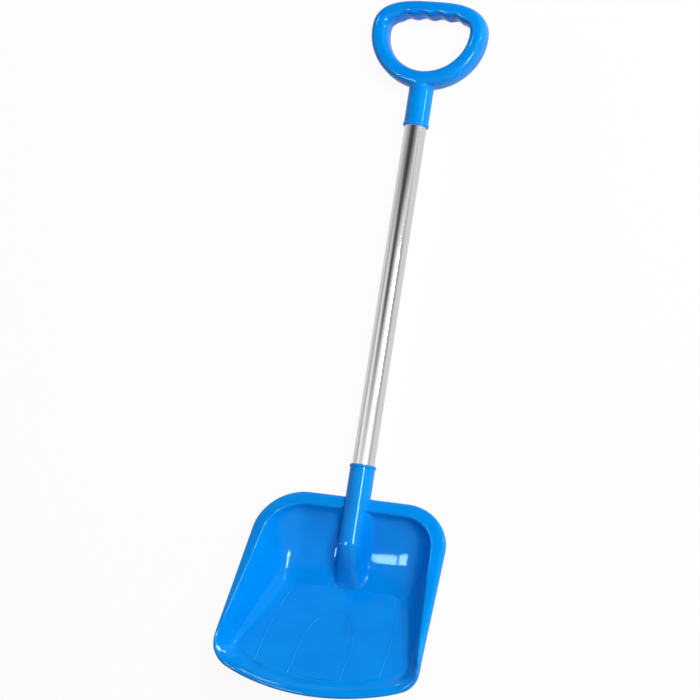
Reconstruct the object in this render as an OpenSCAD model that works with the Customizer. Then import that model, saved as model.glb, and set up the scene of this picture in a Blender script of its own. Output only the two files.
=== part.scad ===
// Sand shovel: a one-piece scoop and a hollow loop handle on a chromed tube.
// It lies on its back, X across, Y from the scoop towards the handle, Z up,
// with the origin on the ground under the middle of the whole.
// Most shapes are written in the shaft's own frame: the tube's axis is Y and
// its zero is where the axis meets the back edge of the scoop's rim.

/* [Shaft] */
// Outer diameter of the tube
tube_d = 22; // [16:0.5:24]
// Wall of the tube
tube_wall = 0.6; // [0.4:0.1:1.2]
// Length of tube that shows between the scoop and the handle
tube_shown = 342.5; // [150:0.5:600]
// Length of tube held in the handle
tube_in_handle = 31; // [20:1:34]
// Length of tube held in the scoop, from its mouth
tube_in_scoop = 78; // [50:1:80]

/* [Scoop] */
// Angle between the tube and the plane of the scoop's mouth
mouth_angle = 22; // [16:0.5:26]
// Angle between that plane and the floor
floor_angle = 14.5; // [10:0.5:18]
// Length of the scoop from its back edge to the tip of its lip
scoop_length = 209; // [200:1:260]
// Length over which the front corners turn from the straight sides into the lip
corner_turn = 14; // [10:1:18]
// Width over the rim at the front corners
rim_width = 206.5; // [200:0.5:260]
// How much each side spreads towards the front, in degrees
rim_taper = 2.3; // [0:0.1:4]
// Radius of the rim's back corners
rim_corner_r = 48.5; // [44:0.5:56]
// How far the lip bows forward of the front corners
lip_bow = 26; // [18:1:27]
// Depth of the bowl under its mouth, where the floor starts
bowl_depth = 43.5; // [40:0.5:46]
// Thickness of the moulding
sheet = 2.2; // [1.6:0.1:2.8]

/* [Rim] */
// Width of the rim at the back
rim_back = 14.3; // [10:0.1:17]
// Width of the rim at the front corners
rim_front = 3.8; // [3:0.1:6]
// Width of the bent border along the lip
rim_lip = 6.5; // [4:0.1:8]
// Spread of the bowl's mouth towards the front, in degrees
mouth_taper = 6.8; // [4:0.1:8]
// Height of the turned-down rim at the back and sides
rim_drop = 6.2; // [5:0.1:9]
// Height of the turned-down border at the lip
lip_drop = 3.2; // [3:0.1:5]

/* [Floor] */
// Distance from the back edge to the start of the floor
floor_start = 80; // [76:1:86]
// Half width of the floor at its start
floor_half_back = 54; // [48:1:60]
// Half width of the floor at its front corners
floor_half_front = 80; // [74:1:84]
// Distance the floor keeps from the front corners and from the lip's bend
floor_gap = 9; // [7:0.5:14]
// Radius of the floor's back corners
floor_corner_r = 14; // [8:1:20]
// Width of the raised lines on the floor
line_width = 1.2; // [0.8:0.1:2]
// Height of the raised lines
line_height = 0.6; // [0.3:0.1:1]
// Half width of the outer arch
outer_arch_half = 62.5; // [56:0.5:66]
// Half width of the inner arch
inner_arch_half = 26; // [18:1:34]
// Distance from the back edge to the top of the inner arch
inner_arch_top = 108; // [100:1:130]
// Distance from the lip to the feet of the arches
arch_foot = 19; // [16:1:26]
// Length of the outer arch's feet
outer_foot = 11; // [6:1:20]
// Distance the legs of the outer arch keep from the back of the floor
outer_arch_gap = 6; // [3:1:20]
// Distance over which the inner arch widens to its full width
inner_arch_rise = 50; // [36:1:54]

/* [Socket] */
// Outer diameter of the sleeves that hold the tube
sleeve_d = 24.8; // [24.6:0.1:27]
// Clearance round the tube in its sleeves
tube_clearance = 0.1; // [0.05:0.05:0.3]
// Length of the scoop's sleeve behind the rim
sleeve_length = 30.3; // [26:0.1:45]
// How far the bead at each sleeve's mouth and the screws' pads stand out
bead_height = 0.9; // [0.5:0.1:1]
// Width of that bead
bead_width = 3.4; // [2:0.1:6]
// Distance from the back edge to the foot of the hump's nose
hump_length = 79; // [76:1:84]
// Width of the hump where it meets the back of the floor
hump_width = 41; // [36:1:44]
// Width of the hump's nose
nose_width = 24; // [20:1:26]
// Distance from the back edge to the widest part of the hump
hump_wide = 51; // [46:1:56]
// How far the hump stands out over the sleeve that it covers
hump_step = 0.4; // [0.3:0.1:0.8]
// Roundness of the hump's lower edges
hump_edge_r = 3; // [2.5:0.5:4]

/* [Handle] */
// Half width of the loop's centre line
loop_half = 51; // [48:0.5:60]
// Height of the loop's centre line above its widest line
loop_rise = 24; // [22:0.5:30]
// Depth of the loop's centre line below its widest line
loop_fall = 48.5; // [44:0.5:56]
// Width of the loop's bar in the plane of the loop
bar_width = 17; // [15:0.5:19]
// Thickness of the loop's bar from front to back
bar_depth = 26.5; // [26:0.5:30]
// Wall of the hollow bar
bar_wall = 2.2; // [1.6:0.1:2.8]
// Length of the handle's sleeve below the loop
stem_length = 40; // [38:0.5:70]
// Distance between the finger grooves
groove_pitch = 17.6; // [16:0.1:19]
// Depth of the finger grooves
groove_depth = 2.2; // [0:0.1:2.6]

/* [Fixings] */
// Diameter of the screws' shank
screw_d = 2.9; // [2.5:0.1:3.5]
// Diameter of the screws' countersunk head
screw_head_d = 5.6; // [5:0.1:6.5]
// Length of the screws
screw_length = 9.5; // [8:0.5:12]
// Clearance round the screws
screw_clearance = 0.15; // [0.05:0.05:0.3]
// Distance from a sleeve's mouth to its screw
screw_place = 15; // [10:1:20]
// Width of the cross in the screws' heads
cross_size = 2.8; // [2:0.1:3]
// Depth of that cross
cross_depth = 1.2; // [0.8:0.1:1.6]
// Diameter of the flat pads round the screws
pad_d = 9; // [8:0.5:11]
// Diameter of the handle's locating pegs
peg_d = 2.6; // [2:0.1:3]
// Length of the pegs beyond the joint
peg_length = 5; // [3:0.5:8]
// Clearance round the pegs
peg_clearance = 0.15; // [0.05:0.05:0.3]

/* [Hidden] */
blue = [0, 0.51, 0.9];
chrome = [0.8, 0.81, 0.83];
steel = [0.62, 0.63, 0.65];
overrun = 1;
round_fn = 64;
blend_fn = 24;

function mix(a, b, t) = a + (b - a) * t;
function clamped(t) = min(1, max(0, t));
function eased(t) = clamped(t) * clamped(t) * (3 - 2 * clamped(t));
function unit(v) = v / norm(v);
function flat(list) = [for (row = list) for (p = row) p];
function both_sides(list) = concat(list, [for (i = [len(list) - 2 : -1 : 1]) [-list[i].x, list[i].y]]);

// Along the shaft
tube_r = tube_d / 2;
sleeve_r = sleeve_d / 2;
bore_r = tube_r + tube_clearance;
tube_start = sleeve_length - tube_in_scoop;
handle_mouth = sleeve_length + tube_shown;
tube_end = handle_mouth + tube_in_handle;
loop_foot = handle_mouth + stem_length;
loop_y = loop_foot + bar_width / 2 + loop_fall;

// Outlines of the scoop, seen square to its mouth: x across, y forward from the back edge.
// Each has the same stations in the same order: back edge, corner, side, front corner and lip.
back_steps = 5;
corner_steps = 8;
side_steps = 8;
tip_steps = 5;
lip_steps = 8;
function lip_curve(x, lip, half) = lip - lip_bow * (x / half) ^ 2;
function outline(half, side_end, taper, back, corner_r, lip) =
    let (
        arc_y = back + corner_r,
        arc_x = half - (side_end - arc_y) * tan(taper) - corner_r / cos(taper),
        sweep = 90 - taper,
        side_from = [arc_x + corner_r * sin(sweep), arc_y - corner_r * cos(sweep)],
        side_to = [half, side_end],
        tip_length = lip - lip_bow - side_end,
        tip = side_to + tip_length * [tan(taper), 1],
        lip_from = [half - tip_length, lip_curve(half - tip_length, lip, half)]
    )
    both_sides([
        for (i = [0 : back_steps - 1]) [arc_x * i / back_steps, back],
        for (i = [0 : corner_steps])
            let (a = sweep * i / corner_steps) [arc_x + corner_r * sin(a), arc_y - corner_r * cos(a)],
        for (i = [1 : side_steps]) mix(side_from, side_to, i / side_steps),
        for (i = [1 : tip_steps])
            let (t = i / tip_steps) mix(mix(side_to, tip, t), mix(tip, lip_from, t), t),
        for (i = [1 : lip_steps])
            let (x = lip_from.x * (1 - i / lip_steps)) [x, lip_curve(x, lip, half)]
    ]);
side_length = scoop_length - lip_bow - corner_turn;
mouth_corner_r = rim_corner_r - rim_back + rim_front;
mouth_lip = scoop_length - rim_lip;
rim_line = outline(rim_width / 2, side_length, rim_taper, 0, rim_corner_r, scoop_length);
mouth_side = side_length - rim_lip;
mouth_line = outline(
    rim_width / 2 - rim_front, mouth_side, mouth_taper, rim_back, mouth_corner_r, mouth_lip
);
floor_side = mouth_side - floor_gap;
floor_taper = atan((floor_half_front - floor_half_back) / (floor_side - floor_start));
floor_line = outline(
    floor_half_front, floor_side, floor_taper, floor_start, floor_corner_r, mouth_lip - floor_gap
);
stations = len(rim_line);

// Depth of the floor under the mouth's plane
function floor_depth(y) = bowl_depth - (y - floor_start) * tan(floor_angle);
// How far the rim has come down to the floor: 0 along back and sides, 1 along the lip
fall_from = back_steps + corner_steps + side_steps - 1;
fall_steps = tip_steps + 3;
function fallen(i) = eased((min(i, stations - i) - fall_from) / fall_steps);
function rim_depth(i) = fallen(i) * floor_depth(mouth_line[i].y);
function drop(i) = mix(rim_drop, lip_drop, fallen(i));

// Profile of the rim from its lower edge to the bend: share of its width, share of its drop
rim_shares = [[0, 1], [0.02, 0.62], [0.07, 0.4], [0.16, 0.24], [0.32, 0.12], [0.6, 0.04], [0.86, 0.01]];
// Profiles of the walls from the bend to the floor: share of the way in, share of the depth
side_shares = [
    [0, 0], [0.035, 0.025], [0.08, 0.1], [0.2, 0.29], [0.33, 0.49],
    [0.46, 0.68], [0.56, 0.8], [0.68, 0.9], [0.82, 0.97], [1, 1]
];
back_shares = [
    [0, 0], [0.02, 0.04], [0.04, 0.14], [0.1, 0.28], [0.18, 0.395],
    [0.29, 0.53], [0.43, 0.68], [0.6, 0.82], [0.8, 0.927], [1, 1]
];
corner_reach_share = 1.1;
function backness(i) = eased(1 - rim_line[i].y / (rim_corner_r * corner_reach_share));
levels = len(rim_shares) + len(side_shares);

// Points of the visible surface in the mouth's frame: x across, y forward, z up
function rim_point(i, share) =
    let (p = mix(rim_line[i], mouth_line[i], share[0])) [p.x, p.y, -rim_depth(i) - drop(i) * share[1]];
function wall_point(i, share) =
    let (p = mix(mouth_line[i], floor_line[i], share[0]))
        [p.x, p.y, -mix(rim_depth(i), floor_depth(floor_line[i].y), share[1])];
skin = [
    for (share = rim_shares) [for (i = [0 : stations - 1]) rim_point(i, share)],
    for (k = [0 : len(side_shares) - 1])
        [for (i = [0 : stations - 1]) wall_point(i, mix(side_shares[k], back_shares[k], backness(i)))]
];
function skin_normal(i, k) =
    k == levels - 1
    ? [0, -sin(floor_angle), cos(floor_angle)]
    : unit(cross(
        skin[k][(i + 1) % stations] - skin[k][(i + stations - 1) % stations],
        skin[k + 1][i] - skin[max(0, k - 1)][i]
    ));
underside = [
    for (k = [0 : levels - 1]) [for (i = [0 : stations - 1]) skin[k][i] - sheet * skin_normal(i, k)]
];

// From the mouth's frame to the shaft's frame
function in_shaft(p) = [
    p.x,
    -p.y * cos(mouth_angle) + p.z * sin(mouth_angle),
    p.y * sin(mouth_angle) + p.z * cos(mouth_angle)
];
floor_middle_y = (floor_start + scoop_length) / 2;
floor_middle = [0, floor_middle_y, -floor_depth(floor_middle_y)];
floor_normal = skin_normal(0, levels - 1);
sheet_points = [
    for (p = concat(flat(skin), flat(underside), [floor_middle, floor_middle - sheet * floor_normal]))
        in_shaft(p)
];

// Two triangles for the four corners of a patch, less any that has no area
function patch(a, b, c, d) = [
    if (b != c) [a, b, c],
    if (a != d && c != d) [a, c, d]
];

module scoop_sheet() {
    last = (levels - 1) * stations;
    below = levels * stations;
    walls = [
        for (k = [0 : levels - 2]) for (i = [0 : stations - 1])
            let (a = k * stations + i, b = k * stations + (i + 1) % stations)
            each patch(a, b, b + stations, a + stations)
    ];
    edge = [
        for (i = [0 : stations - 1])
            let (j = (i + 1) % stations)
            each patch(i, i + below, j + below, j)
    ];
    middle = 2 * below;
    floor_faces = [for (i = [0 : stations - 1]) [last + i, last + (i + 1) % stations, middle]];
    upper = concat(walls, floor_faces);
    lower = [
        for (f = upper) let (c = f[2] == middle ? middle + 1 : f[2] + below) [f[0] + below, c, f[1] + below]
    ];
    polyhedron(sheet_points, concat(upper, lower, edge), 8);
}

// Raised lines on the floor: arches whose legs are quarters of ellipses
line_steps = 14;
function foot_y(x) = lip_curve(x, scoop_length, rim_width / 2) - arch_foot;
function leg_x(y, half, rise, widest) = half * sqrt(max(0, 1 - ((widest - y) / rise) ^ 2));
function sides_of(list, d) = [
    for (i = [0 : len(list) - 1])
        let (v = unit(list[min(i + 1, len(list) - 1)] - list[max(i - 1, 0)])) list[i] + d * [-v.y, v.x]
];
function reversed(list) = [for (i = [len(list) - 1 : -1 : 0]) list[i]];
function band(list) = concat(sides_of(list, line_width / 2), reversed(sides_of(list, -line_width / 2)));
function foot_line(x_from, x_to) = [
    for (i = [0 : line_steps]) let (x = mix(x_from, x_to, i / line_steps)) [x, foot_y(x)]
];
outer_leg_end = floor_start + outer_arch_gap;
outer_leg = [
    for (i = [0 : line_steps])
        let (y = mix(foot_y(outer_arch_half), outer_leg_end, i / line_steps))
            [leg_x(y, outer_arch_half, side_length, side_length), y]
];
inner_widest = inner_arch_top + inner_arch_rise;
inner_leg_end = foot_y(inner_arch_half);
inner_arch = [
    for (i = [-line_steps : line_steps])
        let (y = mix(inner_arch_top, inner_leg_end, (i / line_steps) ^ 2))
            [sign(i) * leg_x(min(y, inner_widest), inner_arch_half, inner_arch_rise, inner_widest), y]
];

// Puts work drawn in the scoop's mouth plane at the floor, in the shaft's frame
module on_floor() {
    rotate([180 - mouth_angle, 0, 0]) mirror([0, 0, 1])
        translate([0, floor_start, -bowl_depth]) rotate([floor_angle, 0, 0]) translate([0, -floor_start, 0])
        children();
}

module floor_lines() {
    on_floor() translate([0, 0, -sheet / 2]) linear_extrude(line_height + sheet / 2) {
        for (side = [0, 1]) mirror([side, 0]) {
            polygon(band(outer_leg));
            polygon(band(foot_line(outer_arch_half, outer_arch_half - outer_foot)));
        }
        polygon(band(inner_arch));
        polygon(band(foot_line(-inner_arch_half, inner_arch_half)));
    }
}

// Lays a shape that is drawn along Z along the shaft instead, from the given place
module along_shaft(from) {
    translate([0, from, 0]) rotate([-90, 0, 0]) children();
}

// Profile of a rounded bead on a sleeve, from its mouth
bead_r = (bead_width ^ 2 / 4 + bead_height ^ 2) / (2 * bead_height);
module bead_profile() {
    intersection() {
        translate([sleeve_r + bead_height - bead_r, bead_width / 2]) circle(bead_r, $fn = round_fn);
        translate([bore_r, 0]) square([bead_r, bead_width]);
    }
}

// Flat pad on the back of a sleeve, and the hole through it for the screw
head_height = (screw_head_d - screw_d) / 2;
pad_face = sleeve_r + bead_height;
module screw_pad(y) {
    translate([0, y, -pad_face]) cylinder(h = pad_face, d = pad_d, $fn = round_fn);
}
module screw_hole(y) {
    translate([0, y, -pad_face]) {
        cylinder(h = pad_face, d = screw_d + 2 * screw_clearance, $fn = round_fn);
        translate([0, 0, -screw_clearance]) cylinder(
            h = head_height + 2 * screw_clearance, $fn = round_fn,
            d1 = screw_head_d + 4 * screw_clearance, d2 = screw_d
        );
    }
}

// Hump over the socket inside the bowl: it follows the tube, then slopes down to a nose
crown_end = tube_start - 2.5 * sheet;
crown_start = -rim_back / 2;
hump_open = 5 * sheet;
function back_depth(y) = lookup((y - rim_back) / (floor_start - rim_back), back_shares) * bowl_depth;
module hump(inset, lowered) {
    r = hump_edge_r - inset;
    lift = hump_edge_r - sheet / 2;
    for (z = lowered) rotate([-mouth_angle, 0, 0]) translate([0, 0, z]) rotate([mouth_angle, 0, 0]) {
        along_shaft(crown_end + inset) cylinder(
            h = crown_start - crown_end - 2 * inset, r = sleeve_r + hump_step - inset, $fn = blend_fn
        );
        for (side = [-1, 1]) {
            translate(in_shaft([
                side * (nose_width / 2 - hump_edge_r), hump_length - hump_edge_r,
                lift - floor_depth(hump_length)
            ])) sphere(r, $fn = blend_fn);
            translate(in_shaft([
                side * (hump_width / 2 - hump_edge_r), hump_wide, lift - back_depth(hump_wide)
            ])) sphere(r, $fn = blend_fn);
        }
    }
}

// Loop of the handle: its centre line, then the rings of points round its bar
loop_steps = 96;
bar_steps = 10;
loop_square_top = 2.9;
loop_square_bottom = 1.95;
bar_square = 3;
function power(v, e) = sign(v) * abs(v) ^ e;
function loop_centre(a) =
    let (
        rise = sin(a) >= 0 ? loop_rise : loop_fall,
        n = sin(a) >= 0 ? loop_square_top : loop_square_bottom,
        r = (abs(cos(a) / loop_half) ^ n + abs(sin(a) / rise) ^ n) ^ (-1 / n)
    )
    [r * cos(a), loop_y + r * sin(a)];
function loop_out(a) =
    let (step = 360 / loop_steps, v = unit(loop_centre(a + step) - loop_centre(a - step))) [v.y, -v.x];
// Finger grooves on the inner side of the top bar
groove_count = 4;
function groove(a) =
    let (x = loop_centre(a).x)
    sin(a) > 0 && abs(x) < groove_count * groove_pitch / 2
    ? groove_depth * (1 - cos(360 * x / groove_pitch)) / 2
    : 0;
function bar_point(a, k, inset) =
    let (
        b = 180 * k / bar_steps,
        side = cos(b) < 0 ? bar_width / 2 - inset - groove(a) : bar_width / 2 - inset,
        across = side * power(cos(b), 2 / bar_square),
        p = loop_centre(a) + across * loop_out(a)
    )
    [p.x, p.y, (bar_depth / 2 - inset) * power(sin(b), 2 / bar_square)];
bar_ring_length = 2 * (bar_steps + 1);
shell_points = flat([
    for (j = [0 : loop_steps - 1]) let (a = 360 * j / loop_steps) concat(
        [for (k = [0 : bar_steps]) bar_point(a, k, 0)],
        [for (k = [bar_steps : -1 : 0]) bar_point(a, k, bar_wall)]
    )
]);

// Half of the hollow bar, on the front side of the joint
module half_shell() {
    n = bar_ring_length;
    polyhedron(shell_points, [
        for (j = [0 : loop_steps - 1]) for (k = [0 : n - 1])
            let (a = j * n, b = (j + 1) % loop_steps * n, next = (k + 1) % n)
            each patch(a + k, a + next, b + next, b + k)
    ], 8);
}

// Neck between the handle's sleeve and its loop, with a small fillet on each side
neck_fillet = bar_wall;
neck_half = bar_width / 4;
function loop_edge(x) =
    let (fall = loop_fall + bar_width / 2, n = loop_square_bottom)
    loop_y - fall * (1 - (x / (loop_half + bar_width / 2)) ^ n) ^ (1 / n);
module neck() {
    reach = sleeve_r + neck_fillet;
    low = loop_edge(reach) - neck_fillet;
    linear_extrude(neck_half) difference() {
        translate([-reach, low]) square([2 * reach, loop_foot + bar_wall - low]);
        for (side = [-1, 1]) translate([side * reach, low]) circle(neck_fillet, $fn = round_fn);
    }
}

module half_sleeve() {
    along_shaft(handle_mouth) rotate([0, 0, 180]) rotate_extrude(angle = 180, $fn = round_fn) {
        square([sleeve_r, tube_in_handle + bar_wall]);
        translate([bore_r, 0]) square([sleeve_r - bore_r, stem_length + bar_width / 2]);
        bead_profile();
    }
}

// Posts inside the bar that the pegs join, at these angles round the loop
peg_angles = [38, 142, 215, 325];
peg_wall = peg_d / 2;
module at_pegs() {
    for (a = peg_angles) translate(loop_centre(a)) children();
}
module posts() {
    at_pegs() cylinder(h = bar_depth / 2 - bar_wall / 2, d = peg_d + 2 * peg_wall, $fn = blend_fn);
}

module half_handle() {
    half_shell();
    half_sleeve();
    neck();
    posts();
}

handle_bore_length = tube_in_handle + tube_clearance;
module handle_bore() {
    along_shaft(handle_mouth - overrun)
        cylinder(h = handle_bore_length + overrun, r = bore_r, $fn = round_fn);
}

module screw(y) {
    translate([0, y, -pad_face]) difference() {
        union() {
            cylinder(h = head_height, d1 = screw_head_d, d2 = screw_d, $fn = round_fn);
            cylinder(h = screw_length - screw_d, d = screw_d, $fn = round_fn);
            translate([0, 0, screw_length - screw_d])
                cylinder(h = screw_d, d1 = screw_d, d2 = screw_d / 4, $fn = round_fn);
        }
        for (turn = [0, 90]) rotate([0, 0, turn])
            translate([-cross_size / 2, -cross_size / 8, -overrun])
            cube([cross_size, cross_size / 4, overrun + cross_depth]);
    }
}
scoop_screw_y = sleeve_length - screw_place;
handle_screw_y = handle_mouth + screw_place;

// How the shovel lies: on the heel of the scoop and the back of the handle
heel_points = [for (row = underside) for (p = row) if (abs(p.x) > hump_width / 2) in_shaft(p)];
back_points = concat(
    [for (p = shell_points) [p.x, p.y, -p.z]],
    [[0, handle_mouth + bead_width / 2, -pad_face], [0, handle_screw_y + pad_d / 2, -pad_face]]
);
function lying(p, a) = [p.x, p.y * cos(a) - p.z * sin(a), p.y * sin(a) + p.z * cos(a)];
function lowest(points, a) =
    let (low = min([for (p = points) lying(p, a).z])) [for (p = points) if (lying(p, a).z == low) p][0];
function lie_angle(a, tries) =
    let (heel = lowest(heel_points, a), back = lowest(back_points, a))
    tries == 0 ? a : lie_angle(-atan((back.z - heel.z) / (back.y - heel.y)), tries - 1);
lie = lie_angle(0, 4);
ground = lying(lowest(heel_points, lie), lie).z;
lip_end = min([for (p = sheet_points) lying(p, lie).y]);
handle_top = max([for (p = shell_points) lying(p, lie).y]);
module laid() {
    translate([0, -(lip_end + handle_top) / 2, -ground]) rotate([lie, 0, 0]) children();
}

module scoop() {
    color(blue) laid() difference() {
        union() {
            difference() {
                union() {
                    scoop_sheet();
                    floor_lines();
                    hull() hump(0, [0]);
                }
                hull() hump(sheet, [0, -hump_open]);
            }
            along_shaft(tube_start - sheet) {
                cylinder(h = tube_in_scoop + sheet, r = sleeve_r, $fn = round_fn);
            }
            along_shaft(sleeve_length) mirror([0, 0, 1]) rotate_extrude($fn = round_fn) bead_profile();
            screw_pad(scoop_screw_y);
        }
        along_shaft(tube_start - tube_clearance)
            cylinder(h = tube_in_scoop + tube_clearance + overrun, r = bore_r, $fn = round_fn);
        screw_hole(scoop_screw_y);
    }
}

module shaft_tube() {
    color(chrome) laid() difference() {
        along_shaft(tube_start) cylinder(h = tube_end - tube_start, r = tube_r, $fn = round_fn);
        along_shaft(tube_start - overrun)
            cylinder(h = tube_end - tube_start + 2 * overrun, r = tube_r - tube_wall, $fn = round_fn);
        for (y = [scoop_screw_y, handle_screw_y]) translate([0, y, -tube_r - overrun])
            cylinder(h = tube_r + overrun, d = screw_d + 2 * screw_clearance, $fn = round_fn);
    }
}

module handle_front() {
    color(blue) laid() difference() {
        half_handle();
        handle_bore();
        at_pegs() translate([0, 0, -overrun])
            cylinder(h = peg_length + peg_clearance + overrun, d = peg_d + 2 * peg_clearance, $fn = blend_fn);
    }
}

module handle_back() {
    color(blue) laid() {
        difference() {
            union() {
                mirror([0, 0, 1]) half_handle();
                screw_pad(handle_screw_y);
            }
            handle_bore();
            screw_hole(handle_screw_y);
        }
        at_pegs() translate([0, 0, -peg_length]) cylinder(h = 2 * peg_length, d = peg_d, $fn = blend_fn);
    }
}

module scoop_screw() {
    color(steel) laid() screw(scoop_screw_y);
}

module handle_screw() {
    color(steel) laid() screw(handle_screw_y);
}

scoop();
shaft_tube();
handle_front();
handle_back();
scoop_screw();
handle_screw();
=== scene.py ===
import math

import bmesh
import bpy
from mathutils import Matrix, Vector


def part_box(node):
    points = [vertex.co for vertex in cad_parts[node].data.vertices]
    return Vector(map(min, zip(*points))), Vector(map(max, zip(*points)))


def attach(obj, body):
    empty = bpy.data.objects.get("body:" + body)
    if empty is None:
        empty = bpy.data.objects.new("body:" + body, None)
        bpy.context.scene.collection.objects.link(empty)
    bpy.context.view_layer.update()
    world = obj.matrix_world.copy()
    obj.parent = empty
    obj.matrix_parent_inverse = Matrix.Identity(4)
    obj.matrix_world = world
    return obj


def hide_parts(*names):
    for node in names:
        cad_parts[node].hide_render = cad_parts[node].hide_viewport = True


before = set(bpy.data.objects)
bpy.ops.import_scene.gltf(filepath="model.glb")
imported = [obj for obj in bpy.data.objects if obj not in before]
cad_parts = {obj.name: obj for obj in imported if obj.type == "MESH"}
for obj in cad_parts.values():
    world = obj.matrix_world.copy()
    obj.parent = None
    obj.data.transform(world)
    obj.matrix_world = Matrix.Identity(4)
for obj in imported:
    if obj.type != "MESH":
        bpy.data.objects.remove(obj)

scene = bpy.context.scene
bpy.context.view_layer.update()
print("frame loaded")


# The shovel is drawn in millimetres in its shaft's own frame: the tube's axis is Y, and its zero
# is where the axis meets the back edge of the scoop's rim. Then it is laid on the floor.
metre = 1000
tube = {"start": -47.7, "end": 403.8, "diameter": 22.0, "wall": 0.6, "edge": 0.15, "segments": 160}
weldDistance = 0.005


def layMatrix():
    # from the shaft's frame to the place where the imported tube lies
    low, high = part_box("shaft_tube")
    length = (tube["end"] - tube["start"]) / metre
    width = tube["diameter"] / metre
    tilt = math.asin((high.z - low.z) / math.hypot(length, width)) - math.atan2(width, length)
    middle = (tube["start"] + tube["end"]) / (2 * metre)
    return (
        Matrix.Translation((low + high) / 2) @ Matrix.Rotation(-tilt, 4, "X")
        @ Matrix.Translation((0, -middle, 0)) @ Matrix.Scale(1 / metre, 4)
    )


shaftToFloor = layMatrix()


def mix(a, b, share):
    return a + (b - a) * share


def clamped(t):
    return min(1.0, max(0.0, t))


def eased(t):
    t = clamped(t)
    return t * t * (3 - 2 * t)


def sine(degrees):
    return math.sin(math.radians(degrees))


def cosine(degrees):
    return math.cos(math.radians(degrees))


def slope(degrees):
    return math.tan(math.radians(degrees))


# helpers that work on bmeshes
def growRings(bm, rings):
    # a ring of vertices is extruded and moved onto each next ring of places
    count = len(rings[0])
    ring = bmesh.ops.create_circle(bm, segments=count, radius=1)["verts"]
    for vert, spot in zip(ring, rings[0]):
        vert.co = spot
    allRings = [ring]
    for spots in rings[1:]:
        edges = [bm.edges.get((ring[i], ring[(i + 1) % count])) for i in range(count)]
        grown = bmesh.ops.extrude_edge_only(bm, edges=edges)["geom"]
        fresh = {item for item in grown if isinstance(item, bmesh.types.BMVert)}
        ring = [next(e.other_vert(v) for e in v.link_edges if e.other_vert(v) in fresh) for v in ring]
        for vert, spot in zip(ring, spots):
            vert.co = spot
        allRings.append(ring)
    return allRings


def spinProfile(points, centre, axis, steps):
    # a closed profile in the XY plane, spun once round an axis
    bm = bmesh.new()
    verts = [bm.verts.new(p) for p in points]
    edges = [bm.edges.new((verts[i], verts[(i + 1) % len(verts)])) for i in range(len(verts))]
    bmesh.ops.spin(
        bm, geom=verts + edges, cent=centre, axis=axis, dvec=(0, 0, 0),
        angle=2 * math.pi, steps=steps, use_merge=True,
    )
    bmesh.ops.remove_doubles(bm, verts=bm.verts, dist=weldDistance / 10)
    bmesh.ops.recalc_face_normals(bm, faces=bm.faces)
    return bm


def addRod(bm, place, radius, endRadius, length, segments, turn=0):
    # a rod or cone along Z, or turned round X, with its middle at a place
    bmesh.ops.create_cone(
        bm, cap_ends=True, segments=segments, radius1=radius, radius2=endRadius, depth=length,
        matrix=Matrix.Translation(place) @ Matrix.Rotation(math.radians(turn), 4, "X"),
    )


def workObject(bm):
    mesh = bpy.data.meshes.new("work")
    bm.to_mesh(mesh)
    bm.free()
    work = bpy.data.objects.new("work", mesh)
    scene.collection.objects.link(work)
    return work


def modified(bm, kind, settings, cutter=None):
    # the shape after one modifier, as a new bmesh
    work = workObject(bm)
    modifier = work.modifiers.new("work", kind)
    for key, value in settings.items():
        setattr(modifier, key, value)
    other = workObject(cutter) if cutter else None
    if other:
        modifier.object = other
    result = bmesh.new()
    result.from_object(work, bpy.context.evaluated_depsgraph_get())
    for item in (work, other):
        if item:
            mesh = item.data
            bpy.data.objects.remove(item)
            bpy.data.meshes.remove(mesh)
    return result


def joined(bm, other, operation):
    # most slivers that are left along the cut are welded away
    result = modified(bm, "BOOLEAN", {"operation": operation, "solver": "EXACT"}, other)
    bmesh.ops.remove_doubles(result, verts=result.verts, dist=weldDistance)
    bmesh.ops.dissolve_degenerate(result, edges=result.edges, dist=weldDistance)
    return result


def finishPiece(name, bm, material, node, sharpAngle=35):
    bmesh.ops.transform(bm, matrix=shaftToFloor, verts=bm.verts)
    for face in bm.faces:
        face.smooth = True
    for edge in bm.edges:
        if len(edge.link_faces) == 2:
            edge.smooth = edge.calc_face_angle(0) < math.radians(sharpAngle)
    mesh = bpy.data.meshes.new(name)
    bm.to_mesh(mesh)
    bm.free()
    mesh.materials.append(material)
    piece = bpy.data.objects.new(name, mesh)
    scene.collection.objects.link(piece)
    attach(piece, "root")
    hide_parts(node)
    print("made", name, len(mesh.polygons), "faces")
    return piece


# materials
def startMaterial(name):
    material = bpy.data.materials.new(name)
    material.use_nodes = True
    nodes, links = material.node_tree.nodes, material.node_tree.links
    shader = nodes["Principled BSDF"]
    coords = nodes.new("ShaderNodeTexCoord")
    return material, nodes, links, shader, coords


def noiseNode(nodes, links, source, scale, detail=3.0, stretch=(1, 1, 1)):
    mapping = nodes.new("ShaderNodeMapping")
    mapping.inputs["Scale"].default_value = stretch
    links.new(source, mapping.inputs["Vector"])
    noise = nodes.new("ShaderNodeTexNoise")
    noise.inputs["Scale"].default_value = scale
    noise.inputs["Detail"].default_value = detail
    links.new(mapping.outputs["Vector"], noise.inputs["Vector"])
    return noise.outputs["Fac"]


def rangeNode(nodes, links, source, low, high, fromLow=0.3, fromHigh=0.7):
    spread = nodes.new("ShaderNodeMapRange")
    spread.inputs["From Min"].default_value = fromLow
    spread.inputs["From Max"].default_value = fromHigh
    spread.inputs["To Min"].default_value = low
    spread.inputs["To Max"].default_value = high
    links.new(source, spread.inputs["Value"])
    return spread.outputs["Result"]


def rampNode(nodes, links, source, places, colours):
    # a colour between two, by where the source lies between two places
    ramp = nodes.new("ShaderNodeValToRGB")
    for element, place, colour in zip(ramp.color_ramp.elements, places, colours):
        element.position = place
        element.color = colour
    links.new(source, ramp.inputs["Fac"])
    return ramp.outputs["Color"]


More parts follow.
